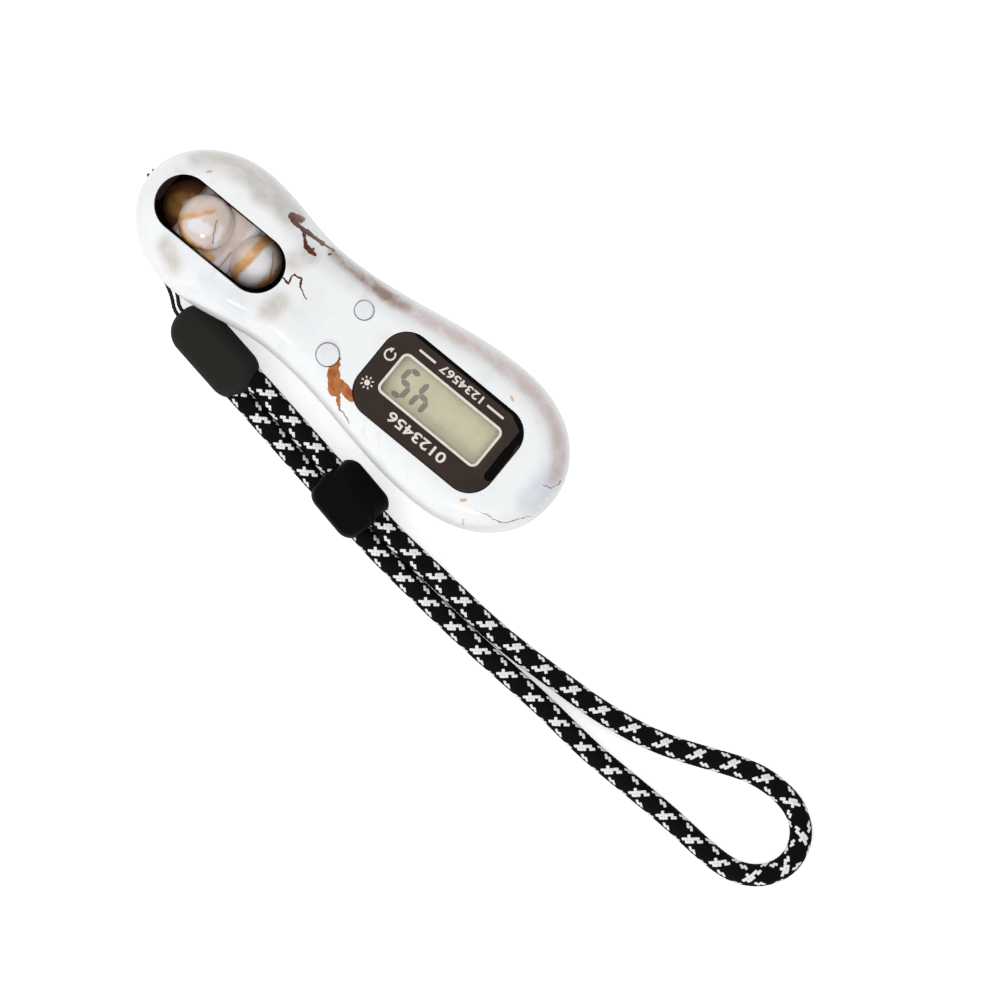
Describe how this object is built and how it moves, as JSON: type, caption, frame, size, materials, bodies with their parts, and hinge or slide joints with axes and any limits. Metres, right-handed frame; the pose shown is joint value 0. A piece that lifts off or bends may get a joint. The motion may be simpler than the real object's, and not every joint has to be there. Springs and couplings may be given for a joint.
{
  "type": "hand tally counter",
  "caption": "Electronic hand tally counter: peanut-shaped marbled body with a beaded thumb wheel, push buttons, a small display and a corded wrist strap.",
  "frame": {"origin": "on the flat back, under the middle of the body", "axes": "+X from the wheel's head to the display's tail, +Z out of the face, +Y away from the strap"},
  "size_m": [0.1602, 0.0459, 0.0265],
  "materials": {
    "marble_shell": "glossy white plastic with a marble pattern",
    "panel_black": "glossy black",
    "clear_window": "clear",
    "lcd_glass": "grey-green display glass",
    "strip_rubber": "matt",
    "clear_guide": "milky",
    "lamp_plastic": "glossy",
    "board_green": "solder resist",
    "resin_black": "matt",
    "switch_grey": "matt",
    "sensor_glass": "clear",
    "screw_steel": "bright",
    "bead_resin": "glossy, milky white with amber",
    "magnet_nickel": "bright",
    "axle_steel": "bright",
    "washer_plastic": "waxy",
    "cradle_plastic": "matt",
    "button_white": "glossy white",
    "plunger_red": "matt",
    "cover_white": "glossy white",
    "seal_rubber": "matt",
    "contact_brass": "bright",
    "cell_steel": "bright",
    "string_black": "fine cord",
    "cap_black": "matt",
    "cord_black": "braid with white flecks",
    "slider_black": "satin"
  },
  "bodies": {
    "housing": {"front_shell": "marble_shell", "rear_shell": "marble_shell", "display_panel": "panel_black", "display_window": "clear_window", "display_glass": "lcd_glass", "contact_strips": "strip_rubber", "light_guide": "clear_guide", "display_lamp": "lamp_plastic", "circuit_board": "board_green", "chip_cover": "resin_black", "light_switch": "switch_grey", "reset_switch": "switch_grey", "count_sensor": "sensor_glass", "board_screws": "screw_steel", "wheel_axle": "axle_steel", "wheel_washers": "washer_plastic", "axle_clips": "screw_steel", "wheel_cradle": "cradle_plastic", "cradle_screw": "screw_steel", "button_cells": "cell_steel", "cell_top_contact": "contact_brass", "cell_side_contact": "contact_brass", "shell_screws": "screw_steel", "eye_pin": "axle_steel", "strap_string": "string_black", "strap_end_cap": "cap_black", "strap_cord": "cord_black"},
    "wheel": {"bead_wheel": "bead_resin", "count_magnets": "magnet_nickel"},
    "light_key": {"light_button": "button_white", "light_plunger": "plunger_red"},
    "reset_key": {"reset_button": "button_white", "reset_plunger": "plunger_red"},
    "cover": {"battery_cover": "cover_white", "cover_seal": "seal_rubber", "cover_contact": "contact_brass"},
    "slider": {"strap_slider": "slider_black"}
  },
  "joints": [
    {"name": "wheel_spin", "type": "hinge", "parent": "housing", "child": "wheel", "pos_m": [-0.028, 0, 0.01455], "axis": [0, 1, 0], "continuous": true},
    {"name": "light_press", "type": "slide", "parent": "housing", "child": "light_key", "axis": [0, 0, -1], "range_m": [0, 0.0005], "stiffness_N_per_m": 600, "springref_m": -0.001},
    {"name": "reset_press", "type": "slide", "parent": "housing", "child": "reset_key", "axis": [0, 0, -1], "range_m": [0, 0.0005], "stiffness_N_per_m": 600, "springref_m": -0.001},
    {"name": "cover_twist", "type": "hinge", "parent": "housing", "child": "cover", "pos_m": [0.024, 0, 0], "axis": [0, 0, 1], "range_deg": [0, 50]},
    {"name": "slider_slide", "type": "slide", "parent": "housing", "child": "slider", "axis": [0.9877, -0.1564, 0], "range_m": [-0.019, 0.003]}
  ]
}
